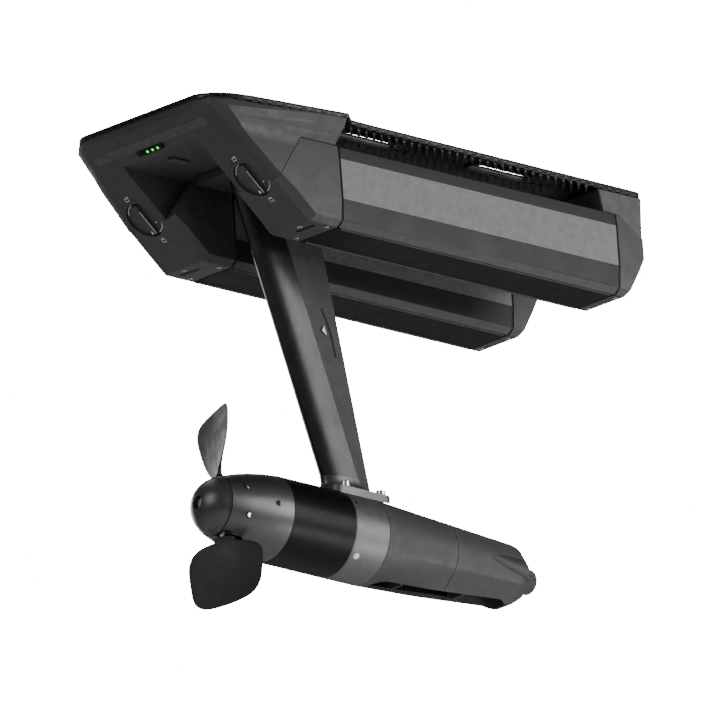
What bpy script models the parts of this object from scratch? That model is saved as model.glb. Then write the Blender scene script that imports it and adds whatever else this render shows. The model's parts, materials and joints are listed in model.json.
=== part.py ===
"""Under-board electric drive: deck frame, two swing-down battery packs, strut and motor pod.

Lengths in this file are millimetres; MM turns them into metres when a mesh is made.
Stations are measured along X from the tip of the nose rim; +X runs to the tail,
+Y to the left and +Z up, with the deck's top face at Z = 0.
"""
import math

import bmesh
import bpy
from mathutils import Vector

MM = 0.001
GAP = 0.3                     # clearance between touching pieces

# deck
MIDDLE_STATION = 233.0        # station at the frame's own X = 0
DECK_TOP = 4.0
NOSE_EDGE = 7.0               # station of the straight nose edge
TAIL_EDGE = 475.0
NOSE_HALF_WIDTH = 99.0        # rim just behind the nose corners
SHOULDER_HALF_WIDTH = 116.5   # rim at the end of the nose housing
WAIST_HALF_WIDTH = 103.0      # rim along the packs
TAIL_HALF_WIDTH = 98.0        # rim at the tail
PAD_THICKNESS = 1.2
PLATE_BOTTOM = 0.0
NOSE_END = 141.0              # station where the nose housing ends
SLOT_Y = 79.0
SLOT_WIDTH = 14.0
SLOT_STATIONS = ((159.0, 226.0), (303.0, 370.0))

# nose ramp: a plane that rises forward from the packs to the rim
RAMP_ANGLE = math.radians(38.8)
TUNNEL_HALF_WIDTH = 50.0      # recess between the two legs of the nose
TUNNEL_ROOF = -24.0

# power button in the recess roof
BUTTON_STATION = 56.0
BUTTON_Y = 6.0
BUTTON_LENGTH = 20.0
BUTTON_WIDTH = 8.0

# battery packs
PACK_Y = 72.0
PACK_TOP = -20.4
PACK_BOTTOM = -91.9
SHELL_START = 146.0
SHELL_END = 444.0
SHELL_WALL = 2.5
SEAM_LOW = (77.0, -62.0)      # seam between nose housing and pack, on the ramp
SEAM_HIGH = (104.0, -20.4)
TAIL_SEAM_LOW = (475.0, -38.4)
TAIL_SEAM_HIGH = (448.0, -20.4)
TAIL_SEAM_GAP = 0.8           # room for the tail cap to swing past the tail housing
PACK_PIVOT = (473.0, -34.4)   # hook at the tail that a pack swings about

# dial latches
DIAL_STATION = 72.0
DIAL_Y = 72.5
DIAL_RADIUS = 17.5
BOSS_RADIUS = 20.5
BOSS_DEPTH = 22.0
CAP_FACE_HALF = 24.5          # half width of the ramp face on a nose cap
CAP_BEVEL_SLOPE = 0.75

# strut
MAST_RAKE = 0.402             # forward travel per unit of drop
MAST_NOSE_TOP = 104.0         # station of the leading edge at the tunnel roof
MAST_THICKNESS = 22.0
MAST_CREASE = 32.0            # leading edge to the joint with the fairing
MAST_TOP = -24.3
MAST_FOOT = -286.9
FLANGE_LOW = -294.2           # lowest edge of the saddle flange that sits on the pod
FOOT_BOLTS = ((9, 16), (9, -16), (49, 14), (49, -14))   # from the leading edge, and Y

# motor pod
POD_Z = -326.0
POD_RADIUS = 37.5
HUB_START = 89.5
HUB_END = 147.0
CAN_END = 215.0
RING_END = 250.0
TAIL_SPLIT = 328.0
TAIL_END = 418.0
KNOB_END = 433.5

# propeller
BLADE_STATION = 98.0
BLADE_ROOT = 30.5
POCKET_FLOOR = 25.0           # hub is cut away to here under each blade root
BLADE_TIP = 88.0
BLADE_CHORD = 72.0
BLADE_PITCH = math.radians(20.0)
BLADE_PHASE = math.radians(7.0)
FOLD_RADIUS = 22.5            # distance of a blade's fold pin from the shaft

RAMP_DOWN = Vector((math.cos(RAMP_ANGLE), 0.0, -math.sin(RAMP_ANGLE)))
RAMP_OUT = Vector((-math.sin(RAMP_ANGLE), 0.0, -math.cos(RAMP_ANGLE)))

COLOURS = {
    "housing": ((0.045, 0.045, 0.045), 0.55, 0.0),
    "rubber": ((0.012, 0.012, 0.012), 0.85, 0.0),
    "alloy": ((0.16, 0.165, 0.16), 0.38, 0.7),
    "black_gloss": ((0.006, 0.006, 0.006), 0.22, 0.0),
    "anodised": ((0.08, 0.08, 0.082), 0.33, 0.8),
    "steel": ((0.55, 0.55, 0.55), 0.25, 1.0),
    "copper": ((0.60, 0.27, 0.13), 0.35, 1.0),
    "board": ((0.01, 0.10, 0.04), 0.5, 0.0),
    "cells": ((0.05, 0.10, 0.22), 0.5, 0.0),
    "lamp": ((0.05, 0.60, 0.12), 0.3, 0.0),
}


def remove_everything():
    for obj in list(bpy.data.objects):
        bpy.data.objects.remove(obj)


def material(name):
    existing = bpy.data.materials.get(name)
    if existing:
        return existing
    colour, roughness, metallic = COLOURS[name]
    made = bpy.data.materials.new(name)
    made.use_nodes = True
    shader = made.node_tree.nodes["Principled BSDF"]
    shader.inputs["Base Color"].default_value = (*colour, 1.0)
    shader.inputs["Roughness"].default_value = roughness
    shader.inputs["Metallic"].default_value = metallic
    return made


def at(station, y, z):
    """A place in millimetres from a station, Y and a height that the deck's top face exceeds by DECK_TOP."""
    return Vector((station - MIDDLE_STATION, y, z - DECK_TOP))


def add_object(name, bm, slot, origin=None):
    """Close the mesh's bookkeeping and place it with its origin at a given place."""
    bmesh.ops.remove_doubles(bm, verts=bm.verts, dist=1e-4)
    bmesh.ops.recalc_face_normals(bm, faces=bm.faces)
    origin = origin or Vector((0, 0, 0))
    for vert in bm.verts:
        vert.co = (vert.co - origin) * MM
    mesh = bpy.data.meshes.new(name)
    bm.to_mesh(mesh)
    bm.free()
    mesh.shade_smooth()
    mesh.set_sharp_from_angle(angle=math.radians(30))
    mesh.materials.append(material(slot))
    obj = bpy.data.objects.new(name, mesh)
    obj.location = origin * MM
    bpy.context.scene.collection.objects.link(obj)
    return obj


def loft(rings, bm=None):
    """Skin equal rings of points in order and cap both ends."""
    bm = bm or bmesh.new()
    rows = [[bm.verts.new(point) for point in ring] for ring in rings]
    count = len(rows[0])
    for low, high in zip(rows, rows[1:]):
        for i in range(count):
            j = (i + 1) % count
            bm.faces.new((low[i], low[j], high[j], high[i]))
    bm.faces.new(rows[0][::-1])
    bm.faces.new(rows[-1])
    return bm


def tube(outer_rings, inner_rings):
    """Skin a shell that is open at both ends between outer and inner rings."""
    bm = bmesh.new()
    loops = outer_rings + inner_rings[::-1]
    rows = [[bm.verts.new(point) for point in ring] for ring in loops]
    count = len(rows[0])
    for k, low in enumerate(rows):
        high = rows[(k + 1) % len(rows)]
        for i in range(count):
            j = (i + 1) % count
            bm.faces.new((low[i], low[j], high[j], high[i]))
    return bm


def prism_x(outline, start, end):
    return loft([[at(s, y, z) for y, z in outline] for s in (start, end)])


def prism_y(outline, start, end):
    return loft([[at(s, y, z) for s, z in outline] for y in (start, end)])


def prism_z(outline, start, end):
    return loft([[at(s, y, z) for s, y in outline] for z in (start, end)])


def block(stations, ys, zs):
    outline = [(ys[0], zs[0]), (ys[1], zs[0]), (ys[1], zs[1]), (ys[0], zs[1])]
    return prism_x(outline, *stations)


def circle(radius, count, phase=0.0):
    turn = 2 * math.pi / count
    return [(radius * math.cos(turn * i + phase), radius * math.sin(turn * i + phase)) for i in range(count)]


def turned(profile, sides=48, hollow=None):
    """A body of revolution about the pod's axis; hollow gives the bore's own profile."""
    def ring(station, radius):
        return [at(station, y, POD_Z + z) for y, z in circle(radius, sides)]
    outer = [ring(s, r) for s, r in profile]
    if hollow is None:
        return loft(outer)
    return tube(outer, [ring(s, r) for s, r in hollow])


def rod(start, end, radius, sides=20):
    """A plain round bar between two places."""
    along = (end - start).normalized()
    side = along.orthogonal().normalized()
    across = along.cross(side)
    ring = [side * a + across * b for a, b in circle(radius, sides)]
    return loft([[start + offset for offset in ring], [end + offset for offset in ring]])


def keep_below(bm, point, normal):
    """Cut with a plane, throw away the side its normal points to and close the cut."""
    geometry = bm.verts[:] + bm.edges[:] + bm.faces[:]
    cut = bmesh.ops.bisect_plane(bm, geom=geometry, plane_co=point, plane_no=normal, clear_outer=True)
    edges = [e for e in cut["geom_cut"] if isinstance(e, bmesh.types.BMEdge)]
    bmesh.ops.edgeloop_fill(bm, edges=edges)
    return bm


def cutter(name, bm):
    obj = add_object(name, bm, "steel")
    obj.hide_render = True
    obj.display_type = "WIRE"
    return obj


def combine(obj, operation, *tools):
    for tool in tools:
        modifier = obj.modifiers.new(tool.name, "BOOLEAN")
        modifier.operation = operation
        modifier.solver = "EXACT"
        modifier.object = tool
    return obj


# ---------------------------------------------------------------- deck

def arc(cx, cy, radius, start, end, steps):
    points = []
    for i in range(steps + 1):
        angle = math.radians(start + (end - start) * i / steps)
        points.append((cx + radius * math.cos(angle), cy + radius * math.sin(angle)))
    return points


def mirrored(half):
    """Close a half outline given from nose to tail on the left side."""
    return half + [(s, -y) for s, y in reversed(half)]


def deck_outline():
    """Plan of the deck: a blunt nose, corners that sweep back, shoulders and a long waist."""
    half = [(NOSE_EDGE, 75.0), (NOSE_EDGE + 3.0, 82.5), (NOSE_EDGE + 8.0, 89.5), (NOSE_EDGE + 14.0, 94.5),
            (NOSE_EDGE + 22.0, NOSE_HALF_WIDTH), (NOSE_EDGE + 38.0, NOSE_HALF_WIDTH + 4.5)]
    half += [(NOSE_END + 1, SHOULDER_HALF_WIDTH), (NOSE_END + 14, WAIST_HALF_WIDTH + 1)]
    half.append((NOSE_END + 30, WAIST_HALF_WIDTH))
    half += arc(TAIL_EDGE - 8, TAIL_HALF_WIDTH - 8, 8, 90, 0, 4)
    return mirrored(half)


def stadium(first, last, y, width, steps=8):
    radius = width / 2
    return (arc(last - radius, y, radius, -90, 90, steps)
            + arc(first + radius, y, radius, 90, 270, steps))


def slot_cutters():
    made = []
    for side in (1, -1):
        for index, (first, last) in enumerate(SLOT_STATIONS):
            outline = stadium(first, last, side * SLOT_Y, SLOT_WIDTH)
            made.append(cutter(f"cut_slot_{side}_{index}", prism_z(outline, -20, 8)))
    return made


def nose_ring(z, narrow=0.0):
    """Outline of the nose housing at one height; narrow pulls it in all round."""
    depth = -z
    nose = max(NOSE_EDGE + 0.8, depth / math.tan(RAMP_ANGLE)) + narrow * 1.6
    blend = min(max((depth - 3.0) / 17.0, 0.0), 1.0)
    flat = 75.0 + max(depth, 0.0) * 0.33 - narrow
    low_side = PACK_Y + 27.0
    side_front = 97.5 + (low_side - 97.5) * blend
    side_back = SHOULDER_HALF_WIDTH - 1 + (low_side - SHOULDER_HALF_WIDTH + 1) * blend
    if z < PACK_TOP:
        side_front = side_back = pack_half_width(z) + PACK_Y
    side_front -= narrow
    side_back -= narrow
    reach = max(20.0 - depth * 0.35, 7.0)
    half = [(nose, flat)]
    half.append((nose + reach * 0.3, flat + (side_front - flat) * 0.6))
    half.append((nose + reach, side_front))
    half.append((NOSE_END - 6 - narrow, side_back))
    half.append((NOSE_END - narrow, side_back))
    return mirrored(half)


def make_deck():
    slots = slot_cutters()
    outline = deck_outline()
    pad = add_object("deck_pad", prism_z(outline, DECK_TOP - PAD_THICKNESS, DECK_TOP), "rubber")
    combine(pad, "DIFFERENCE", *slots)
    plate_top = DECK_TOP - PAD_THICKNESS - GAP
    plate = add_object("deck_plate", prism_z(outline, PLATE_BOTTOM, plate_top), "housing")
    combine(plate, "DIFFERENCE", *slots)
    make_nose_housing()
    make_tail_housing()


def make_nose_housing():
    levels = (PLATE_BOTTOM - GAP, -7.0, -14.0, PACK_TOP, -23.0, PACK_TOP - 11.0, -64.0)
    rings = [[at(s, y, z) for s, y in nose_ring(z)] for z in levels]
    housing = add_object("nose_housing", loft(rings), "housing")
    low = Vector((SEAM_LOW[0], 0, SEAM_LOW[1]))
    high = Vector((SEAM_HIGH[0], 0, SEAM_HIGH[1]))
    along = (low - high).normalized()
    below = low + along * 30
    roof = PACK_TOP + GAP
    envelope = [(below.x, below.z), (high.x, roof), (NOSE_END + 20, roof), (NOSE_END + 20, -110)]
    pack_space = cutter("cut_pack_space", prism_y(envelope, -140, 140))
    tunnel = block((-20, 170), (-TUNNEL_HALF_WIDTH, TUNNEL_HALF_WIDTH), (-100, TUNNEL_ROOF))
    tunnel = cutter("cut_tunnel", tunnel)
    inside = [[at(s, y, z) for s, y in nose_ring(z, 4.0)] for z in (1.0, -19.0)]
    cavity = cutter("cut_nose_cavity", loft(inside))
    bosses = []
    for side in (1, -1):
        centre = dial_centre(side)
        bar = rod(centre - RAMP_OUT * (BOSS_DEPTH + GAP), centre + RAMP_OUT * 20, BOSS_RADIUS + GAP, 40)
        bosses.append(cutter(f"cut_boss_{side}", bar))
    pocket = cutter("cut_button_pocket", button_block(0.5, -30, -21))
    combine(housing, "DIFFERENCE", pack_space, tunnel, cavity, *bosses, pocket)
    origin = at(BUTTON_STATION, BUTTON_Y, TUNNEL_ROOF)
    add_object("power_button", button_block(0.0, -25.6, -22.3), "rubber", origin)
    for side in (1, -1):
        cable = cutter(f"cut_cable_{side}", rod(at(122, side * 12, -30), at(122, side * 12, -10), 4.0))
        combine(housing, "DIFFERENCE", cable)
    add_object("controller_board", block((40, 128), (-70, 70), (-16.5, -14.9)), "board")
    add_object("controller_heatsink", block((50, 118), (-55, 55), (-14.5, -7.0)), "alloy")
    add_object("status_lamps", led_bar(), "lamp")


def button_block(grow, bottom, top):
    reach = BUTTON_LENGTH / 2 + grow
    outline = stadium(BUTTON_STATION - reach, BUTTON_STATION + reach, BUTTON_Y, BUTTON_WIDTH + 2 * grow)
    return prism_z(outline, bottom, top)


def led_bar():
    """Window strip for the charge lamps, standing on the ramp just above the recess."""
    centre = at(26.0, 6.0, -26.0 * math.tan(RAMP_ANGLE)) + RAMP_OUT * GAP
    half_length = 17.0
    half_height = 2.4
    rings = []
    for lift in (0.0, 1.2):
        corners = ((-1, -1), (1, -1), (1, 1), (-1, 1))
        rings.append([centre + RAMP_OUT * lift + Vector((0, half_length * a, 0)) + RAMP_DOWN * (half_height * b)
                      for a, b in corners])
    return loft(rings)


def make_tail_housing():
    low = PACK_TOP + GAP
    outline = [(427, PLATE_BOTTOM - GAP), (TAIL_EDGE - 1, PLATE_BOTTOM - GAP), (TAIL_EDGE + 0.5, TAIL_SEAM_LOW[1] + 0.4),
               (TAIL_SEAM_HIGH[0] + 0.4, low), (433, low)]
    half = TAIL_HALF_WIDTH - 1
    bm = prism_y(outline, -half, half)
    add_object("tail_housing", bm, "housing")


# ---------------------------------------------------------------- battery packs

def pack_half_width(z):
    """Half width of a pack at a height: it swells downwards to a straight lower wall."""
    top, bottom = PACK_TOP, PACK_BOTTOM
    points = ((top, 26.0), (top - 11.0, 28.0), (top - 47.5, 32.0), (bottom + 5.0, 32.0), (bottom, 26.0))
    for (z0, w0), (z1, w1) in zip(points, points[1:]):
        if z >= z1:
            return w0 + (w1 - w0) * (z0 - z) / (z0 - z1)
    return points[-1][1]


def pack_section(side, inset=0.0):
    heights = (PACK_TOP, PACK_TOP - 11.0, PACK_TOP - 47.5, PACK_BOTTOM + 5.0, PACK_BOTTOM)
    right = []
    for z in heights:
        shift = -inset if z == PACK_TOP else (inset if z == PACK_BOTTOM else 0.0)
        right.append((pack_half_width(z) - inset, z + shift))
    section = right + [(-w, z) for w, z in reversed(right)]
    return [(side * PACK_Y + w, z) for w, z in section]


def pack_origin(side):
    return at(PACK_PIVOT[0], side * PACK_Y, PACK_PIVOT[1])


def dial_centre(side):
    return at(DIAL_STATION, side * DIAL_Y, -DIAL_STATION * math.tan(RAMP_ANGLE))


def add_pack_piece(name, bm, slot, side):
    return add_object(name, bm, slot, pack_origin(side))


def make_nose_cap(label, side):
    section = pack_section(side)
    bm = prism_x(section, 60, SHELL_START - 1.8)
    seam_low = at(SEAM_LOW[0], 0, SEAM_LOW[1])
    seam_high = at(SEAM_HIGH[0], 0, SEAM_HIGH[1])
    along = (seam_low - seam_high).normalized()
    seam_normal = Vector((along.z, 0, -along.x))
    if seam_normal.x > 0:
        seam_normal = -seam_normal
    keep_below(bm, at(0, 0, 0), RAMP_OUT)
    keep_below(bm, seam_high - seam_normal * 0.4, seam_normal)
    for edge in (1, -1):
        corner = at(86.0, side * PACK_Y + edge * CAP_FACE_HALF, -86.0 * math.tan(RAMP_ANGLE))
        keep_below(bm, corner, (RAMP_OUT + Vector((0, edge * CAP_BEVEL_SLOPE, 0))).normalized())
    cap = add_pack_piece(f"pack_nose_cap_{label}", bm, "housing", side)
    centre = dial_centre(side)
    boss = cutter(f"add_boss_{label}", rod(centre - RAMP_OUT * BOSS_DEPTH, centre, BOSS_RADIUS, 40))
    recess = rod(centre - RAMP_OUT * 6.4, centre + RAMP_OUT * 9, DIAL_RADIUS + 0.5, 40)
    recess = cutter(f"cut_recess_{label}", recess)
    stem = cutter(f"cut_stem_{label}", rod(centre - RAMP_OUT * 13, centre, 3.6, 16))
    inside = [(94.7, -71), (94.7, -44), (98, -38), (160, -38), (160, -86.5), (114.5, -86.5)]
    room = cutter(f"cut_cap_room_{label}", prism_y(inside, side * PACK_Y - 21, side * PACK_Y + 21))
    cam_room = rod(centre - RAMP_OUT * 20, centre - RAMP_OUT * 11.0, 14.0, 24)
    combine(cap, "UNION", boss)
    combine(cap, "DIFFERENCE", recess, stem, room, cutter(f"cut_cam_{label}", cam_room))


def make_tail_cap(label, side):
    bm = prism_x(pack_section(side), SHELL_END + 1.8, 473.0)
    seam_low = at(TAIL_SEAM_LOW[0], 0, TAIL_SEAM_LOW[1])
    seam_high = at(TAIL_SEAM_HIGH[0], 0, TAIL_SEAM_HIGH[1])
    along = (seam_low - seam_high).normalized()
    normal = Vector((-along.z, 0, along.x))
    if normal.z < 0:
        normal = -normal
    keep_below(bm, seam_high - normal * TAIL_SEAM_GAP, normal)
    foot_low = at(455, 0, PACK_BOTTOM)
    foot_high = at(473.8, 0, -54.4)
    along = (foot_low - foot_high).normalized()
    normal = Vector((-along.z, 0, along.x))
    if normal.x < 0:
        normal = -normal
    keep_below(bm, foot_high, normal)
    add_pack_piece(f"pack_tail_cap_{label}", bm, "housing", side)


def make_latch(label, side):
    centre = dial_centre(side)
    origin = centre - RAMP_OUT * 6.0
    disc = rod(origin, centre - RAMP_OUT * 2.2, DIAL_RADIUS, 40)
    disc = add_object(f"latch_dial_{label}", disc, "housing", centre)
    grip_rings = []
    for depth in (-2.8, 0.6):
        across = RAMP_DOWN
        ring = []
        for a, b in ((-15.5, -3.4), (15.5, -3.4), (15.5, 3.4), (-15.5, 3.4)):
            ring.append(centre + RAMP_OUT * depth + across * a + Vector((0, b, 0)))
        grip_rings.append(ring)
    grip = cutter(f"add_grip_{label}", loft(grip_rings))
    stem = cutter(f"add_stem_{label}", rod(centre - RAMP_OUT * 19, centre - RAMP_OUT * 5, 3.2, 16))
    combine(disc, "UNION", grip, stem)
    cam_rings = []
    for depth in (-18.5, -14.5):
        outline = arc(0, 0, 6.0, 90, 270, 8) + [(10.0, -6.0), (10.0, 6.0)]
        cam_rings.append([centre + RAMP_OUT * depth + RAMP_DOWN * a + Vector((0, b, 0)) for a, b in outline])
    cam = add_object(f"latch_cam_{label}", loft(cam_rings), "steel", centre)
    combine(cam, "DIFFERENCE", cutter(f"cut_cam_bore_{label}", rod(centre - RAMP_OUT * 30, centre, 3.5, 16)))


def make_pack(label, side):
    outer = pack_section(side)
    inner = pack_section(side, SHELL_WALL)
    stations = (SHELL_START, SHELL_END)
    rings = [[at(s, y, z) for y, z in outer] for s in stations]
    bores = [[at(s, y, z) for y, z in inner] for s in stations]
    add_pack_piece(f"pack_shell_{label}", tube(rings, bores), "alloy", side)
    for name, first in (("nose", SHELL_START - 1.5), ("tail", SHELL_END + GAP)):
        seal = [[at(s, y, z) for y, z in pack_section(side, 0.8)] for s in (first, first + 1.2)]
        hole = [[at(s, y, z) for y, z in pack_section(side, 4.0)] for s in (first, first + 1.2)]
        add_pack_piece(f"pack_{name}_seal_{label}", tube(seal, hole), "rubber", side)
    ys = (side * PACK_Y - 22, side * PACK_Y + 22)
    add_pack_piece(f"cell_block_{label}", block((153, 437), ys, (-86.5, -35)), "cells", side)
    board = block((168, 423), (ys[0] + 4, ys[1] - 4), (-31.0, -29.4))
    add_pack_piece(f"pack_board_{label}", board, "board", side)
    make_nose_cap(label, side)
    make_tail_cap(label, side)
    make_latch(label, side)


# ---------------------------------------------------------------- strut

def mast_edge(z):
    """Station of the strut's leading edge at a height."""
    return MAST_NOSE_TOP + (TUNNEL_ROOF - z) * MAST_RAKE


def mast_chord(z):
    return 88.0 - (TUNNEL_ROOF - z) * 0.147


def column_ring(z, grow=0.0):
    half = MAST_THICKNESS / 2 + grow
    nose = 26.0 + grow
    edge = mast_edge(z) - grow
    points = []
    for i in range(13):
        angle = math.radians(90 + 180 * i / 12)
        points.append(at(edge + nose + nose * math.cos(angle), half * math.sin(angle), z))
    points.append(at(edge + MAST_CREASE + 2 * grow, -half, z))
    points.append(at(edge + MAST_CREASE + 2 * grow, half, z))
    return points


def fairing_ring(z):
    start = mast_edge(z) + MAST_CREASE + GAP
    end = mast_edge(z) + mast_chord(z)
    half = MAST_THICKNESS / 2
    return [at(start, half, z), at(start, -half, z), at(end - 4, -3.2, z), at(end, -1.6, z),
            at(end, 1.6, z), at(end - 4, 3.2, z)]


def make_mast():
    column = add_object("mast_column", loft([column_ring(z) for z in (MAST_TOP - 8.3, MAST_FOOT)]), "anodised")
    bore = [column_ring(z, -4.0) for z in (MAST_TOP, MAST_FOOT - 20)]
    combine(column, "DIFFERENCE", cutter("cut_mast_bore", loft(bore)))
    add_object("mast_fairing", loft([fairing_ring(z) for z in (MAST_TOP - 8.3, MAST_FOOT + 0.4)]), "housing")
    head = add_object("mast_head", block((96, 200), (-32, 32), (MAST_TOP - 8, MAST_TOP)), "alloy")
    mouth = [column_ring(z, -4.0) for z in (MAST_TOP + 3, MAST_TOP - 12)]
    combine(head, "DIFFERENCE", cutter("cut_head_mouth", loft(mouth)))
    make_mast_foot()
    wire_top = at(mast_edge(-28) + 18, 0, -28)
    wire_end = at(mast_edge(-287) + 18, 0, -287)
    add_object("phase_cable", rod(wire_top, wire_end, 4.5, 12), "rubber")


def rounded_plate(first, last, half_width, radius):
    """Plan of a plate with rounded corners, centred on the middle line."""
    return (arc(last - radius, -half_width + radius, radius, -90, 0, 5)
            + arc(last - radius, half_width - radius, radius, 0, 90, 5)
            + arc(first + radius, half_width - radius, radius, 90, 180, 5)
            + arc(first + radius, -half_width + radius, radius, 180, 270, 5))


def foot_bolt_places():
    edge = mast_edge(MAST_FOOT)
    return [at(edge + shift, y, MAST_FOOT) for shift, y in FOOT_BOLTS]


def upright(place, below, above, radius, sides=16):
    return rod(place - Vector((0, 0, below)), place + Vector((0, 0, above)), radius, sides)


def make_mast_foot():
    """Saddle flange with four bolts, its underside hollowed to the pod's round."""
    edge = mast_edge(MAST_FOOT)
    outline = rounded_plate(edge - 4, edge + 58, 20.5, 8.0)
    flange = add_object("mast_foot", prism_z(outline, FLANGE_LOW, MAST_FOOT - GAP), "anodised")
    saddle = POD_RADIUS + GAP
    tools = [cutter("cut_foot_saddle", turned([(RING_END - 100, saddle), (RING_END + 100, saddle)]))]
    tools.append(cutter("cut_foot_hole", rod(at(edge + 18, 0, -300), at(edge + 18, 0, -270), 7.0)))
    for index, place in enumerate(foot_bolt_places()):
        tools.append(cutter(f"cut_foot_bolt_{index}", upright(place, 20, 9, 2.4)))
        bolt = add_object(f"foot_bolt_{index + 1}", upright(place, 0, 4.5, 4.2, 20), "steel")
        combine(bolt, "UNION", cutter(f"add_shank_{index}", upright(place, 8.0, 2, 2.0)))
    combine(flange, "DIFFERENCE", *tools)


# ---------------------------------------------------------------- motor pod

def tail_radius(station):
    """The pod's taper from the mount ring to its squared-off tail."""
    return POD_RADIUS - (station - RING_END) * 0.064


def make_pod():
    inner = POD_RADIUS - 3.0
    add_object("motor_can", turned([(HUB_END + 0.5, POD_RADIUS), (CAN_END, POD_RADIUS)],
               hollow=[(HUB_END + 0.5, inner), (CAN_END, inner)]), "black_gloss")
    stator = turned([(160, inner - GAP), (202, inner - GAP)], hollow=[(160, 21.5), (202, 21.5)])
    add_object("stator", stator, "copper")
    make_mount_ring()
    make_tail()
    add_object("driver_board", block((256, 316), (-22, 22), (POD_Z + 4, POD_Z + 5.6)), "board")
    for name, first, last in (("rear_bearing", 206, 214), ("front_bearing", 151, 157)):
        bearing = turned([(first, 15.0), (last, 15.0)], 32, hollow=[(first, 5.3), (last, 5.3)])
        add_object(name, bearing, "steel")
    outer = [(148, inner - GAP), (158, inner - GAP)]
    add_object("front_bearing_plate", turned(outer, 40, hollow=[(148, 15.3), (158, 15.3)]), "alloy")
    outer = [(204.5, inner - GAP), (214.5, inner - GAP)]
    add_object("rear_bearing_plate", turned(outer, 40, hollow=[(204.5, 15.3), (214.5, 15.3)]), "alloy")


def make_mount_ring():
    inner = POD_RADIUS - 4.0
    ring = add_object("mount_ring", turned([(CAN_END + GAP, POD_RADIUS), (RING_END, POD_RADIUS)],
                      hollow=[(CAN_END + GAP, inner), (RING_END, inner)]), "anodised")
    edge = mast_edge(MAST_FOOT)
    wire = rod(at(edge + 18, 0, -310), at(edge + 18, 0, -270), 7.0)
    combine(ring, "DIFFERENCE", cutter("cut_ring_wire", wire))
    for index, place in enumerate(foot_bolt_places()[:2]):
        combine(ring, "DIFFERENCE", cutter(f"cut_ring_bolt_{index}", upright(place, 16, 9, 2.4)))


def tail_section(station, shrink=0.0):
    """Round above, with two flats that run down to a narrow keel face."""
    radius = tail_radius(station) - shrink
    square = min(max((station - RING_END) / 80.0, 0.0), 1.0)
    points = []
    for i in range(40):
        angle = 2 * math.pi * i / 40
        y = radius * math.cos(angle)
        z = radius * math.sin(angle)
        below = max(0.0, -math.sin(angle))
        y *= 1.0 - 0.10 * square * below
        z = max(z, -radius * (1.0 - 0.02 * square))
        points.append(at(station, y, POD_Z + z))
    return points


def make_tail():
    wall = 3.2
    shell_stations = (RING_END + GAP, 276.0, 302.0, TAIL_SPLIT)
    shell = tube([tail_section(s) for s in shell_stations], [tail_section(s, wall) for s in shell_stations])
    slot = cutter("cut_keel_slot", prism_z(stadium(256, 400, 0, 25.0), POD_Z - 60, POD_Z - 15))
    holes = []
    for index, place in enumerate(foot_bolt_places()[2:]):
        holes.append(cutter(f"cut_shell_bolt_{index}", upright(place, 16, 9, 2.4)))
    combine(add_object("tail_shell", shell, "housing"), "DIFFERENCE", slot, *holes)
    cap_stations = (TAIL_SPLIT + GAP, 356.0, 384.0, 404.0)
    rings = [tail_section(s) for s in cap_stations]
    centre = at(TAIL_END, 0, POD_Z)
    rings.append([centre + (p - at(404.0, 0, POD_Z)) * 0.62 for p in rings[-1]])
    for ring in rings[-1:]:
        for p in ring:
            p.x = centre.x
    cap = add_object("tail_cap", loft(rings), "housing")
    hollow_rings = [tail_section(s, wall) for s in (TAIL_SPLIT - 5, 356.0, 398.0)]
    hollow = cutter("cut_tail_hollow", loft(hollow_rings))
    neck = cutter("cut_tail_neck", turned([(390, 5.3), (TAIL_END + 5, 5.3)], 24))
    combine(cap, "DIFFERENCE", hollow, neck, slot)
    origin = at(TAIL_END, 0, POD_Z)
    knob = turned([(TAIL_END + GAP, 11.5), (TAIL_END + 2, 12.8), (KNOB_END - 2, 12.2), (KNOB_END, 10.0)], 24)
    stem = cutter("add_knob_stem", turned([(402, 5.0), (TAIL_END + 4, 5.0)], 24))
    combine(add_object("tail_knob", knob, "housing", origin), "UNION", stem)


# ---------------------------------------------------------------- propeller

HUB_PROFILE = ((HUB_START, 26.0), (97.0, 28.6), (108.0, 31.6), (120.0, 34.2), (134.0, 36.4), (HUB_END, 37.4))


def blade_frame(turn):
    """Axes of a blade: along the shaft, around it and outwards."""
    outward = Vector((0, math.sin(turn), math.cos(turn)))
    around = Vector((0, math.cos(turn), -math.sin(turn)))
    return Vector((1, 0, 0)), around, outward


def blade_place(turn, along, tangent, radius):
    x, around, outward = blade_frame(turn)
    return at(BLADE_STATION, 0, POD_Z) + x * along + around * tangent + outward * radius


def blade_width(reach):
    """Half chord of a blade that is nearly square, with all its corners well rounded."""
    middle = 2 * reach - 1
    squareness = 3.0 if reach < 0.5 else 4.0
    width = BLADE_CHORD / 2 * max(0.0, 1.0 - abs(middle) ** squareness) ** (1 / squareness)
    return max(width, 11.0 if reach < 0.5 else 13.0)


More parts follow.
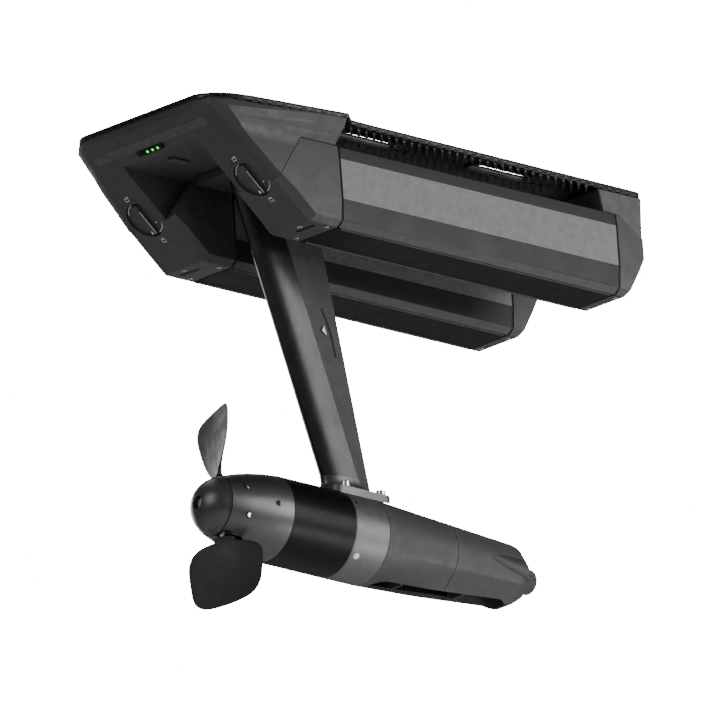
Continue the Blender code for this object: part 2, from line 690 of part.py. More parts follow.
def make_blade(label, turn):
    rings = []
    steps = 16
    for k in range(steps + 1):
        reach = (1 - math.cos(math.pi * k / steps)) / 2
        radius = BLADE_ROOT + (BLADE_TIP - BLADE_ROOT) * reach
        half = blade_width(reach)
        pitch = math.atan(math.tan(BLADE_PITCH) * 62.0 / radius)
        thick = 3.2 - 1.9 * reach
        ring = []
        for i in range(14):
            angle = 2 * math.pi * i / 14
            chord = half * math.cos(angle)
            face = thick / 2 * math.sin(angle) - 3.0 * (chord / (BLADE_CHORD / 2)) ** 2 * reach
            tangent = chord * math.cos(pitch) - face * math.sin(pitch)
            along = chord * math.sin(pitch) + face * math.cos(pitch)
            ring.append(blade_place(turn, along, tangent, radius))
        rings.append(ring)
    origin = blade_place(turn, 0, 0, FOLD_RADIUS)
    blade = add_object(f"blade_{label}", loft(rings), "housing", origin)
    corners = ((-4.5, -4.5), (4.5, -4.5), (4.5, 4.5), (-4.5, 4.5))
    reach = (FOLD_RADIUS - 4.5, BLADE_ROOT + 4.0)
    tang_rings = [[blade_place(turn, a, b, r) for a, b in corners] for r in reach]
    tang = cutter(f"add_tang_{label}", loft(tang_rings))
    hole = cutter(f"cut_tang_{label}", rod(blade_place(turn, 0, -12, FOLD_RADIUS),
                  blade_place(turn, 0, 12, FOLD_RADIUS), 2.3, 20))
    combine(blade, "UNION", tang)
    combine(blade, "DIFFERENCE", hole)


def make_propeller():
    origin = at(BLADE_STATION, 0, POD_Z)
    hub = add_object("prop_hub", turned(HUB_PROFILE), "anodised", origin)
    bore = cutter("cut_hub_bore", turned([(80, 5.3), (160, 5.3)], 24))
    tools = [bore]
    for label, turn in (("a", BLADE_PHASE), ("b", BLADE_PHASE + math.pi)):
        pocket = ((-8.0, -11.5), (10.0, -11.5), (21.0, 0.0), (10.0, 11.5), (-8.0, 11.5))
        rings = [[blade_place(turn, a, b, r) for a, b in pocket] for r in (POCKET_FLOOR, 45.0)]
        tools.append(cutter(f"cut_pocket_{label}", loft(rings)))
        corners = ((-8.0, -5.0), (28.0, -5.0), (28.0, 5.0), (-8.0, 5.0))
        rings = [[blade_place(turn, a, b, r) for a, b in corners] for r in (17.0, 45.0)]
        tools.append(cutter(f"cut_fold_slot_{label}", loft(rings)))
        ends = [blade_place(turn, 0, side * 10.3, FOLD_RADIUS) for side in (-1, 1)]
        pin_hole = rod(*ends, 2.3, 20)
        tools.append(cutter(f"cut_pin_{label}", pin_hole))
        pin = rod(blade_place(turn, 0, -10, FOLD_RADIUS), blade_place(turn, 0, 10, FOLD_RADIUS), 2.0, 16)
        add_object(f"fold_pin_{label}", pin, "steel", origin)
        make_blade(label, turn)
    combine(hub, "DIFFERENCE", *tools)
    dome = []
    for i in range(8):
        angle = math.radians(68 - 68 * i / 7)
        dome.append((97.0 - 26.3 * math.sin(angle), 26.3 * math.cos(angle)))
    dome = [(s, r) for s, r in dome if s < HUB_START - 1] + [(HUB_START - GAP, 25.7)]
    spinner = add_object("spinner", turned(dome), "anodised", origin)
    socket = cutter("cut_spinner_socket", turned([(60, 5.0), (78.0, 5.0)], 24))
    socket_bore = cutter("cut_spinner_bore", turned([(77.0, 2.4), (95, 2.4)], 20))
    combine(spinner, "DIFFERENCE", socket, socket_bore)
    bolt = add_object("spinner_bolt", turned([(74.2, 4.4), (77.7, 4.4)], 20), "steel", origin)
    combine(bolt, "UNION", cutter("add_bolt_shank", turned([(76.5, 2.0), (88.8, 2.0)], 16)))
    add_object("drive_shaft", turned([(90.2, 5.0), (216, 5.0)], 24), "steel", origin)
    rotor = turned([(161, 20.8), (201, 20.8)], 40, hollow=[(161, 5.3), (201, 5.3)])
    add_object("rotor", rotor, "steel", origin)


def main():
    remove_everything()
    make_deck()
    for label, side in (("left", 1), ("right", -1)):
        make_pack(label, side)
    make_mast()
    make_pod()
    make_propeller()


main()
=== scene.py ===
"""Looks of the under-board electric drive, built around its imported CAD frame.

Everything is in metres in the frame's own axes. Stations run along X from the tip
of the nose rim towards the tail, as millimetres, and at() turns them into metres.
"""
import json
import math

import bmesh
import bpy
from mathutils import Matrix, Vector


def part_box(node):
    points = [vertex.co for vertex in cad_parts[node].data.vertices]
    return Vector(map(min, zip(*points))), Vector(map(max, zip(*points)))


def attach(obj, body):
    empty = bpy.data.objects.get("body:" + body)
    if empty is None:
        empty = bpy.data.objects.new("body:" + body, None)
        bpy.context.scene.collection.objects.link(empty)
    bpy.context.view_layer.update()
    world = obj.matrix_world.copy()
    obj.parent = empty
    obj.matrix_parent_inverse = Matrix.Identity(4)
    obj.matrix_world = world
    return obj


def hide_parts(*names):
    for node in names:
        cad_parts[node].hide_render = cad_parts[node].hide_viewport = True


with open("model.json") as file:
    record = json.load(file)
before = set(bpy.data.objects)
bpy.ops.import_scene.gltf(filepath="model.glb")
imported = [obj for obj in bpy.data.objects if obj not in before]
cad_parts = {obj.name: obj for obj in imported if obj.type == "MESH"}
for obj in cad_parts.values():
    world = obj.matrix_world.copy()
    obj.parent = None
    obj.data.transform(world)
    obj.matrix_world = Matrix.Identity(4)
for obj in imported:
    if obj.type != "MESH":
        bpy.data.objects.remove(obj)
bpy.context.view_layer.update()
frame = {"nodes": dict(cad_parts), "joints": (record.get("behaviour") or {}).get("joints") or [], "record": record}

NODES = frame["nodes"]
BODY_OF = {node: body for body, nodes in frame["record"]["behaviour"]["bodies"].items() for node in nodes}
JOINTS = {joint["name"]: joint for joint in frame["joints"]}

MM = 0.001
DECK_LOW, DECK_HIGH = (Vector(corner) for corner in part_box("deck_pad"))
NOSE_EDGE = 7.0
DECK_ORIGIN = DECK_LOW.x - NOSE_EDGE * MM
POD_AXIS = Vector(JOINTS["propeller_spin"]["pos_m"])
POD_Z = POD_AXIS.z
POD_RADIUS = (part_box("motor_can")[1][2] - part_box("motor_can")[0][2]) / 2
RAMP_ANGLE = math.radians(38.8)
RAMP_DOWN = Vector((math.cos(RAMP_ANGLE), 0.0, -math.sin(RAMP_ANGLE)))
RAMP_OUT = Vector((-math.sin(RAMP_ANGLE), 0.0, -math.cos(RAMP_ANGLE)))
RAMP_DROP = 4.0
SIDE_LABELS = (("left", 1), ("right", -1))


def at(station, y, z):
    """A place in the frame, in metres, from a station, Y and Z in millimetres."""
    return Vector((DECK_ORIGIN + station * MM, y * MM, z * MM))


# ------------------------------------------------------------------ materials

class Finish:
    """A node material in the making, with helpers for the patterns the parts share."""

    def __init__(self, name, colour, roughness, metallic=0.0):
        self.material = bpy.data.materials.new(name)
        self.material.use_nodes = True
        self.tree = self.material.node_tree
        self.shader = self.tree.nodes["Principled BSDF"]
        self.colour = colour
        self.shader.inputs["Base Color"].default_value = (*colour, 1.0)
        self.shader.inputs["Roughness"].default_value = roughness
        self.shader.inputs["Metallic"].default_value = metallic
        self.last_normal = None

    def node(self, kind, **values):
        made = self.tree.nodes.new(kind)
        for key, value in values.items():
            made.inputs[key.replace("_", " ")].default_value = value
        return made

    def link(self, source, target):
        self.tree.links.new(source, target)

    def stretched(self, stretch):
        """Object coordinates scaled by different amounts along X, Y and Z."""
        coordinates = self.tree.nodes.new("ShaderNodeTexCoord")
        mapping = self.node("ShaderNodeMapping", Scale=stretch)
        self.link(coordinates.outputs["Object"], mapping.inputs["Vector"])
        return mapping.outputs["Vector"]

    def noise(self, scale, detail=3.0, stretch=(1, 1, 1)):
        texture = self.node("ShaderNodeTexNoise", Scale=scale, Detail=detail)
        self.link(self.stretched(stretch), texture.inputs["Vector"])
        return texture.outputs["Fac"]

    def ramp(self, source, low, high, start=0.35, end=0.65):
        scale = self.node("ShaderNodeMapRange")
        scale.inputs["From Min"].default_value = start
        scale.inputs["From Max"].default_value = end
        scale.inputs["To Min"].default_value = low
        scale.inputs["To Max"].default_value = high
        self.link(source, scale.inputs["Value"])
        return scale.outputs["Result"]

    def vary_colour(self, source, other, amount=1.0):
        mix = self.tree.nodes.new("ShaderNodeMix")
        mix.data_type = "RGBA"
        previous = self.shader.inputs["Base Color"]
        if previous.is_linked:
            self.link(previous.links[0].from_socket, mix.inputs["A"])
        else:
            mix.inputs["A"].default_value = (*self.colour, 1.0)
        mix.inputs["B"].default_value = (*other, 1.0)
        self.link(self.ramp(source, 0.0, amount), mix.inputs["Factor"])
        self.link(mix.outputs["Result"], self.shader.inputs["Base Color"])
        return self

    def vary_roughness(self, source, low, high):
        self.link(self.ramp(source, low, high), self.shader.inputs["Roughness"])
        return self

    def bump(self, source, strength, distance):
        bump = self.node("ShaderNodeBump", Strength=strength, Distance=distance)
        self.link(source, bump.inputs["Height"])
        if self.last_normal:
            self.link(self.last_normal, bump.inputs["Normal"])
        self.last_normal = bump.outputs["Normal"]
        self.link(self.last_normal, self.shader.inputs["Normal"])
        return self

    def painted_edge_highlight(self, colour, amount):
        """Painted edge highlight: lighter colour, in noisy patches, where the surface turns sharply."""
        geometry = self.tree.nodes.new("ShaderNodeNewGeometry")
        edge = self.ramp(geometry.outputs["Pointiness"], 0.0, 1.0, 0.52, 0.60)
        patch = self.ramp(self.noise(160.0, 2.0), 0.0, amount)
        product = self.tree.nodes.new("ShaderNodeMath")
        product.operation = "MULTIPLY"
        self.link(edge, product.inputs[0])
        self.link(patch, product.inputs[1])
        mix = self.tree.nodes.new("ShaderNodeMix")
        mix.data_type = "RGBA"
        previous = self.shader.inputs["Base Color"]
        if previous.is_linked:
            self.link(previous.links[0].from_socket, mix.inputs["A"])
        else:
            mix.inputs["A"].default_value = (*self.colour, 1.0)
        mix.inputs["B"].default_value = (*colour, 1.0)
        self.link(product.outputs["Value"], mix.inputs["Factor"])
        self.link(mix.outputs["Result"], self.shader.inputs["Base Color"])
        return self


METAL_SPECULAR = 0.35


def moulded(name, colour, roughness=0.52, specular=0.5):
    """Fine-grained moulded plastic with faint flow marks and a painted highlight on its sharp edges."""
    light = tuple(c * 1.12 for c in colour)
    finish = Finish(name, colour, roughness)
    finish.shader.inputs["Specular IOR Level"].default_value = specular
    finish.vary_colour(finish.noise(28.0, 4.0), light, 0.6)
    finish.vary_roughness(finish.noise(90.0, 3.0), roughness - 0.05, roughness + 0.07)
    # sharp edges painted lighter in patches: painted edge highlight
    finish.painted_edge_highlight(tuple(c * 2.2 for c in colour), 0.35)
    finish.bump(finish.noise(2600.0, 2.0), 0.22, 0.00008)
    return finish.material


def satin_metal(name, colour, roughness, metallic, drawn=(4.0, 260.0, 260.0)):
    """Anodised metal with fine drawn lines along the extrusion."""
    light = tuple(min(1.0, c * 1.12) for c in colour)
    finish = Finish(name, colour, roughness, metallic)
    finish.shader.inputs["Specular IOR Level"].default_value = METAL_SPECULAR
    lines = finish.noise(6.0, 5.0, drawn)
    finish.vary_colour(lines, light, 0.7)
    finish.vary_roughness(finish.noise(40.0, 4.0), roughness - 0.03, roughness + 0.05)
    finish.bump(lines, 0.05, 0.00005)
    # sharp edges painted lighter in patches: painted edge highlight
    finish.painted_edge_highlight(tuple(min(1.0, c * 1.8) for c in colour), 0.25)
    return finish.material


def make_materials():
    made = {
        "housing": moulded("housing", (0.036, 0.036, 0.037)),
        "side": moulded("side", (0.046, 0.046, 0.047)),
        "cap": moulded("cap", (0.043, 0.044, 0.044)),
        "tail": moulded("tail", (0.043, 0.043, 0.044), 0.52, 0.4),
        "blade": moulded("blade", (0.030, 0.031, 0.032), 0.5, 0.35),
        "alloy": satin_metal("alloy", (0.020, 0.023, 0.021), 0.5, 0.1),
        "band": satin_metal("band", (0.145, 0.152, 0.147), 0.42, 0.3),
        "anodised": satin_metal("anodised", (0.100, 0.100, 0.103), 0.34, 0.8, (60.0, 60.0, 60.0)),
        "ring": satin_metal("ring", (0.125, 0.125, 0.13), 0.45, 0.7, (60.0, 60.0, 60.0)),
        "column": satin_metal("column", (0.045, 0.045, 0.047), 0.32, 0.85, (60.0, 60.0, 8.0)),
        "steel": satin_metal("steel", (0.62, 0.62, 0.62), 0.2, 1.0, (80.0, 80.0, 80.0)),
    }
    rubber = Finish("rubber", (0.010, 0.010, 0.010), 0.7)
    rubber.vary_colour(rubber.noise(60.0), (0.018, 0.018, 0.018), 0.8)
    rubber.bump(rubber.noise(1400.0, 2.0), 0.3, 0.0001)
    made["rubber"] = rubber.material
    gloss = Finish("black_gloss", (0.003, 0.003, 0.003), 0.34)
    gloss.shader.inputs["Specular IOR Level"].default_value = 0.14
    gloss.vary_roughness(gloss.noise(70.0), 0.32, 0.37)
    gloss.bump(gloss.noise(900.0, 2.0), 0.02, 0.00002)
    made["black_gloss"] = gloss.material
    # near-black for the deck plate, whose faces look down: painted shade
    under = Finish("underside", (0.003, 0.003, 0.003), 0.5)
    under.vary_roughness(under.noise(50.0), 0.3, 0.45)
    made["underside"] = under.material
    made["chamfer"] = satin_metal("chamfer", (0.055, 0.058, 0.056), 0.45, 0.25)
    # near-black used as painted shade: pack bottoms, finger slots, holes and screw recesses on the pod; also the
    # hub's dark seam
    made["sole"] = moulded("sole", (0.002, 0.002, 0.002), 0.62, 0.25)
    made["ribs"] = moulded("ribs", (0.030, 0.030, 0.031), 0.5, 0.3)
    made["label"] = moulded("label", (0.040, 0.044, 0.050), 0.4)
    made["label_light"] = moulded("label_light", (0.16, 0.16, 0.165), 0.4)
    # white for print, also used for the painted highlights on the dials
    white = Finish("white_print_and_highlight", (0.80, 0.80, 0.80), 0.5)
    white.vary_colour(white.noise(300.0), (0.62, 0.62, 0.62), 0.5)
    made["white"] = white.material
    lamp = Finish("lamp_green", (0.02, 0.55, 0.06), 0.3)
    lamp.shader.inputs["Emission Color"].default_value = (0.03, 0.95, 0.10, 1.0)
    lamp.shader.inputs["Emission Strength"].default_value = 2.2
    lamp.vary_roughness(lamp.noise(400.0), 0.25, 0.4)
    made["lamp"] = lamp.material
    return made


MATERIALS = make_materials()

# ------------------------------------------------------------------ mesh helpers


def piece(name, bm, material, body, slot, smooth=35.0, bevel=0.0, segments=2, replaces=()):
    """Finish a bmesh as a shown piece that rides on a body."""
    bmesh.ops.remove_doubles(bm, verts=bm.verts, dist=1e-7)
    bmesh.ops.recalc_face_normals(bm, faces=bm.faces)
    mesh = bpy.data.meshes.new(name)
    bm.to_mesh(mesh)
    bm.free()
    if "custom_normal" in mesh.attributes:
        mesh.attributes.remove(mesh.attributes["custom_normal"])
    mesh.shade_smooth()
    mesh.set_sharp_from_angle(angle=math.radians(smooth))
    mesh.materials.clear()
    mesh.materials.append(MATERIALS[material])
    obj = bpy.data.objects.new(name, mesh)
    bpy.context.scene.collection.objects.link(obj)
    if bevel:
        modifier = obj.modifiers.new("edges", "BEVEL")
        modifier.width = bevel
        modifier.segments = segments
        modifier.limit_method = "ANGLE"
        modifier.angle_limit = math.radians(28)
        modifier.harden_normals = False
    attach(obj, body)
    if replaces:
        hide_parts(*replaces)
    return obj


def rounded(node, material, bevel=0.0008, segments=2, name=None):
    """The CAD node again, with its edges rounded, standing for the node."""
    bm = bmesh.new()
    bm.from_mesh(NODES[node].data)
    bmesh.ops.remove_doubles(bm, verts=bm.verts, dist=2e-6)
    bmesh.ops.dissolve_limit(bm, angle_limit=math.radians(0.6), verts=bm.verts, edges=bm.edges)
    slot = next(s["material_slot"] for s in frame["record"]["subparts"] if s["node"] == node)
    return piece(name or node + "_shell", bm, material, BODY_OF[node], slot, 32.0, bevel, segments, (node,))


def loft(rings, bm=None, caps=True):
    bm = bm or bmesh.new()
    rows = [[bm.verts.new(point) for point in ring] for ring in rings]
    count = len(rows[0])
    for low, high in zip(rows, rows[1:]):
        for i in range(count):
            j = (i + 1) % count
            bm.faces.new((low[i], low[j], high[j], high[i]))
    if caps:
        bm.faces.new(rows[0][::-1])
        bm.faces.new(rows[-1])
    return bm


def circle(radius, count):
    turn = 2 * math.pi / count
    return [(radius * math.cos(turn * i), radius * math.sin(turn * i)) for i in range(count)]


def pod_point(station, y, rise):
    """A place by its station, Y and height above the pod's axis, in millimetres."""
    return at(station, y, 0) + Vector((0, 0, POD_Z + rise * MM))


def turned(profile, sides=96, bm=None):
    """A body of revolution about the pod's axis from stations and radii in millimetres."""
    rings = [[pod_point(s, y, z) for y, z in circle(r, sides)] for s, r in profile]
    return loft(rings, bm)


def rod(start, end, radius, sides=24, bm=None):
    along = (end - start).normalized()
    side = along.orthogonal().normalized()
    across = along.cross(side)
    ring = [side * a + across * b for a, b in circle(radius, sides)]
    return loft([[start + offset for offset in ring], [end + offset for offset in ring]], bm)


def slab(corner_points, normal, thickness, bm=None):
    """A flat plate from an outline, lifted along a normal."""
    return loft([list(corner_points), [p + normal * thickness for p in corner_points]], bm)


# ------------------------------------------------------------------ shared outlines


def arc_points(cx, cy, radius, start, end, steps):
    """Points of an arc in a plane, with its angles in degrees."""
    angles = [math.radians(start + (end - start) * i / steps) for i in range(steps + 1)]
    return [(cx + radius * math.cos(angle), cy + radius * math.sin(angle)) for angle in angles]


def pill(length, width, steps=10):
    """A long shape with round ends, centred on its own origin."""
    reach = (length - width) / 2
    return arc_points(reach, 0, width / 2, -90, 90, steps) + arc_points(-reach, 0, width / 2, 90, 270, steps)


def on_ramp(centre, lift):
    """A function that places (down the ramp, across) millimetres on the ramp around a place."""
    def place(down, across):
        return centre + RAMP_DOWN * (down * MM) + Vector((0, across * MM, 0)) + RAMP_OUT * (lift * MM)
    return place


def ramp_point(station, y):
    return at(station, y, -RAMP_DROP - station * math.tan(RAMP_ANGLE))


def stroke(bm, place, points, width, height, closed=False):
    """A thin raised line along points of a plane; the place function puts it in space."""
    count = len(points)
    sections = []
    for i, (u, v) in enumerate(points):
        before = points[(i - 1) % count] if closed or i > 0 else points[i]
        after = points[(i + 1) % count] if closed or i < count - 1 else points[i]
        du, dv = after[0] - before[0], after[1] - before[1]
        size = math.hypot(du, dv)
        nu, nv = -dv / size * width / 2, du / size * width / 2
        low_a, low_b = place(u + nu, v + nv), place(u - nu, v - nv)
        sections.append([low_a, low_b, low_b + height, low_a + height])
    rows = [[bm.verts.new(p) for p in section] for section in sections]
    pairs = list(zip(rows, rows[1:]))
    if closed:
        pairs.append((rows[-1], rows[0]))
    for one, other in pairs:
        for k in range(4):
            m = (k + 1) % 4
            bm.faces.new((one[k], one[m], other[m], other[k]))
    if not closed:
        bm.faces.new(rows[0][::-1])
        bm.faces.new(rows[-1])


def carve(obj, bm):
    """Cut a closed mesh out of a piece for good."""
    mesh = bpy.data.meshes.new("carver")
    bmesh.ops.recalc_face_normals(bm, faces=bm.faces)
    bm.to_mesh(mesh)
    bm.free()
    tool = bpy.data.objects.new("carver", mesh)
    bpy.context.scene.collection.objects.link(tool)
    modifier = obj.modifiers.new("carve", "BOOLEAN")
    modifier.object = tool
    modifier.solver = "EXACT"
    bpy.context.view_layer.update()
    evaluated = obj.evaluated_get(bpy.context.evaluated_depsgraph_get())
    carved = bpy.data.meshes.new_from_object(evaluated)
    obj.modifiers.clear()
    obj.data = carved
    bpy.data.objects.remove(tool)
    carved.shade_smooth()
    carved.set_sharp_from_angle(angle=math.radians(30))



# ------------------------------------------------------------------ camera, light and floor

VIEW_DIRECTION = Vector((0.6253 * math.cos(math.radians(17.7)), 0.7804 * math.cos(math.radians(17.7)),
                         math.sin(math.radians(17.7)))).normalized()
VIEW_TARGET = at(247.4, 0, -168.8)
VIEW_WIDTH = 0.608
CAMERA_DISTANCE = 1.2
FLOOR_DROP = 1.3


def make_stage():
    camera_data = bpy.data.cameras.new("camera")
    camera_data.type = "ORTHO"
    camera_data.ortho_scale = VIEW_WIDTH
    camera = bpy.data.objects.new("camera", camera_data)
    camera.location = VIEW_TARGET - VIEW_DIRECTION * CAMERA_DISTANCE
    camera.rotation_euler = VIEW_DIRECTION.to_track_quat("-Z", "Y").to_euler()
    bpy.context.scene.collection.objects.link(camera)
    bpy.context.scene.camera = camera

    bpy.ops.mesh.primitive_plane_add(size=14.0, location=(0, 0, -FLOOR_DROP))
    floor = bpy.context.object
    floor.name = "floor"
    finish = Finish("floor", (0.80, 0.80, 0.80), 0.8)
    floor.data.materials.append(finish.material)

    world = bpy.data.worlds.new("studio")
    bpy.context.scene.world = world
    world.use_nodes = True
    tree = world.node_tree
    background = tree.nodes["Background"]
    path = tree.nodes.new("ShaderNodeLightPath")
    mix = tree.nodes.new("ShaderNodeMix")
    mix.data_type = "RGBA"
    mix.inputs["A"].default_value = (0.16, 0.16, 0.165, 1.0)
    mix.inputs["B"].default_value = (20.0, 20.0, 20.0, 1.0)
    tree.links.new(path.outputs["Is Camera Ray"], mix.inputs["Factor"])
    tree.links.new(mix.outputs["Result"], background.inputs["Color"])

    def softbox(name, place, size, power, aim):
        data = bpy.data.lights.new(name, "AREA")
        data.shape = "RECTANGLE"
        data.size, data.size_y = size
        data.energy = power
        light = bpy.data.objects.new(name, data)
        light.location = place
        light.rotation_euler = (aim - Vector(place)).to_track_quat("-Z", "Y").to_euler()
        bpy.context.scene.collection.objects.link(light)

    softbox("side_softbox", (0.9, -1.9, 0.2), (1.6, 1.2), 34.0, Vector((0.05, 0, -0.1)))
    softbox("tail_low_softbox", (1.3, -1.1, -1.0), (1.0, 0.7), 16.0, Vector((0.0, 0, -0.25)))
    softbox("nose_softbox", (-1.8, -0.3, 0.3), (1.0, 1.0), 7.0, Vector((-0.1, 0, -0.1)))
    softbox("top_softbox", (0.2, 0.4, 1.7), (1.8, 1.8), 14.0, Vector((0, 0, 0)))
    softbox("far_softbox", (0.4, 1.9, 0.1), (1.4, 1.0), 14.0, Vector((0, 0, -0.1)))


make_stage()

# ------------------------------------------------------------------ plain pieces

ROUNDED = (
    ("nose_housing", "housing", 0.0016, 3),
    ("tail_housing", "side", 0.0014, 3),
    ("deck_pad", "rubber", 0.0003, 1),
    # the deck plate's near-black colour is painted shade
    ("deck_plate", "underside", 0.0004, 1),
    ("mast_head", "housing", 0.0015, 2),
    ("mast_column", "column", 0.0002, 1),
    ("mast_fairing", "side", 0.0006, 2),
    ("mast_foot", "ring", 0.0010, 2),
    ("mount_ring", "ring", 0.0003, 1),
    ("prop_hub", "anodised", 0.0004, 1),
    ("spinner_bolt", "steel", 0.0003, 1),
    ("power_button", "rubber", 0.0008, 2),
    ("status_lamps", "black_gloss", 0.0004, 2),
)


def make_plain_pieces():
    for node, material, bevel, segments in ROUNDED:
        rounded(node, material, bevel, segments)
    for index in range(1, 5):
        rounded(f"foot_bolt_{index}", "steel", 0.0004, 2)
    for label, _ in SIDE_LABELS:
        rounded(f"pack_shell_{label}", "alloy", 0.0007, 2)
        rounded(f"pack_nose_cap_{label}", "cap", 0.0014, 3)
        rounded(f"pack_tail_cap_{label}", "cap", 0.0016, 3)
        rounded(f"latch_dial_{label}", "housing", 0.0005, 2)


make_plain_pieces()

SEALED = {
    "rubber": ("pack_nose_seal_left", "pack_nose_seal_right", "pack_tail_seal_left",
               "pack_tail_seal_right", "phase_cable"),
    "steel": ("latch_cam_left", "latch_cam_right", "drive_shaft", "rotor", "fold_pin_a", "fold_pin_b",
              "front_bearing", "rear_bearing"),
    "alloy": ("controller_heatsink", "front_bearing_plate", "rear_bearing_plate"),
}


def paint_inner_nodes():
    """Carried-over nodes keep their CAD shape and take a node material."""
    for name, nodes in SEALED.items():
        for node in nodes:
            NODES[node].data.materials.clear()
            NODES[node].data.materials.append(MATERIALS[name])
    board = moulded("circuit_board", (0.012, 0.09, 0.04), 0.45)
    cells = moulded("cell_sleeves", (0.05, 0.10, 0.22), 0.4)
    winding = satin_metal("winding", (0.60, 0.27, 0.13), 0.35, 1.0, (200.0, 20.0, 20.0))
    for node in ("controller_board", "driver_board", "pack_board_left", "pack_board_right"):
        NODES[node].data.materials.clear()
        NODES[node].data.materials.append(board)
    for node in ("cell_block_left", "cell_block_right"):
        NODES[node].data.materials.clear()
        NODES[node].data.materials.append(cells)
    NODES["stator"].data.materials.clear()
    NODES["stator"].data.materials.append(winding)


paint_inner_nodes()

# ------------------------------------------------------------------ deck

def deck_outline():
    """The deck's plan, read from the CAD pad's upright outer faces in order round the middle."""
    mesh = NODES["deck_pad"].data
    found = set()
    for face in mesh.polygons:
        if abs(face.normal.z) > 0.5:
            continue
        for index in face.vertices:
            place = mesh.vertices[index].co
            in_slot = abs(place.y) < 0.09 and -0.10 < place.x < 0.15
            if not in_slot:
                found.add((round(place.x, 5), round(place.y, 5)))
    return sorted(found, key=lambda p: math.atan2(p[1], p[0]))


def make_deck_rim():
    """Black teeth hanging from the deck's edge all round."""
    outline = [Vector((x, y, 0)) for x, y in deck_outline()]
    bm = bmesh.new()
    pitch, tooth, depth, inset = 9.4 * MM, 6.0 * MM, 0.9 * MM, 0.6 * MM
    low, high = DECK_HIGH.z - 4.9 * MM, DECK_HIGH.z - 2.6 * MM
    for index, start in enumerate(outline):
        end = outline[(index + 1) % len(outline)]
        length = (end - start).length
        if length < tooth:
            continue
        along = (end - start) / length
        inward = Vector((-along.y, along.x, 0))
        count = max(1, int(length / pitch))
        for k in range(count):
            middle = start + along * (length * (k + 0.5) / count)
            plan = [middle - along * (tooth / 2), middle + along * (tooth / 2)]
            ring = [plan[0], plan[1], plan[1] + inward * (depth + inset), plan[0] + inward * (depth + inset)]
            loft([[p + Vector((0, 0, low)) for p in ring], [p + Vector((0, 0, high)) for p in ring]], bm)
    piece("deck_rim_teeth", bm, "rubber", BODY_OF["deck_pad"], "rubber")


RIB_PITCH = 8.2
RIB_HEIGHT = 2.6
RIB_SLANT = 0.8
RIB_HALF = 1.3
RIB_FIRST, RIB_LAST = 144.0, 423.0
COLLAR_HEIGHT = 1.7


def make_deck_ribs():
    """Slanting ribs under the deck and a low collar round each slot."""
    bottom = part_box("deck_plate")[0][2] / MM
    bm = bmesh.new()
    spans = ((32.0, 70.0, False), (70.0, 88.0, True), (88.0, 98.0, False))
    for side in (1, -1):
        station = RIB_FIRST - 98.0 * RIB_SLANT
        while station < RIB_LAST + 4.0 + 98.0 * RIB_SLANT:
            station += RIB_PITCH
            for inner, outer, across_slot in spans:
                ends = [station + side * y * RIB_SLANT for y in (inner, outer)]
                if min(ends) < RIB_FIRST or max(ends) > RIB_LAST:
                    continue
                slotted = any(max(ends) > first - 3 and min(ends) < last + 3 for first, last in SLOTS)
                if across_slot and slotted:
                    continue
                ring = [(ends[0] - RIB_HALF, side * inner), (ends[0] + RIB_HALF, side * inner),
                        (ends[1] + RIB_HALF, side * outer), (ends[1] - RIB_HALF, side * outer)]
                rings = [[at(s, y, bottom - drop) for s, y in ring] for drop in (0.05, RIB_HEIGHT)]
                loft(rings, bm)
        for first, last in SLOTS:
            middle = (first + last) / 2

            def place(u, v, middle=middle, side=side):
                return at(middle + u, side * SLOT_Y + v, bottom - COLLAR_HEIGHT)
            outline = pill(last - first + 1.6, SLOT_WIDTH + 1.6)
            stroke(bm, place, outline, 1.4, Vector((0, 0, COLLAR_HEIGHT * MM)), True)
    piece("deck_ribs", bm, "ribs", BODY_OF["deck_plate"], "housing")


SLOTS = ((159.0, 226.0), (303.0, 370.0))
SLOT_Y = 79.0
SLOT_WIDTH = 14.0


def make_nose_details():
    """Blank label plate, charge lamps, button surround on the ramp and recess."""
    centre = ramp_point(20.5, 0.0)
    place = on_ramp(centre, 0.02)
    outline = [place(v, u) for u, v in pill(152.0, 8.6)]
    piece("blank_label_plate", slab(outline, RAMP_OUT, 0.16 * MM), "label", "hull", "housing")
    lamp_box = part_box("status_lamps")
    lamp_centre = (Vector(lamp_box[0]) + Vector(lamp_box[1])) / 2
    place = on_ramp(lamp_centre, 0.55)
    for index, across in enumerate((-10.3, -3.4, 3.4, 10.3)):
        dome = bmesh.new()
        rings = []
        for radius, lift in ((1.25, 0.0), (1.2, 0.25), (0.9, 0.5), (0.45, 0.65)):
            points = [place(u, across + v) + RAMP_OUT * (lift * MM) for u, v in circle(radius, 20)]
            rings.append(points)
        loft(rings, dome)
        lit = across < 10
        piece(f"charge_lamp_{index + 1}", dome, "lamp" if lit else "black_gloss", "hull", "lamp")
    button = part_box("power_button")
    middle = (Vector(button[0]) + Vector(button[1])) / 2
    top = button[0][2] - 0.02 * MM

    def under(u, v):
        return Vector((middle.x + u * MM, middle.y + v * MM, top))
    bm = bmesh.new()
    stroke(bm, under, pill(16.0, 4.0), 0.7, Vector((0, 0, -0.15 * MM)), True)
    piece("button_ring", bm, "label_light", BODY_OF["power_button"], "rubber")


def padlock(bm, place, down, across, open_side, lift):
    """A plain little padlock drawn with thin raised lines."""
    body = [(down + a, across + b) for a, b in ((0.0, -2.1), (0.0, 2.1), (2.9, 2.1), (2.9, -2.1))]
    stroke(bm, place, body, 0.55, lift, True)
    hoop = [(down - a, across + open_side + b) for b, a in arc_points(0, 0, 1.35, 0, 180, 8)]
    stroke(bm, place, hoop, 0.5, lift)


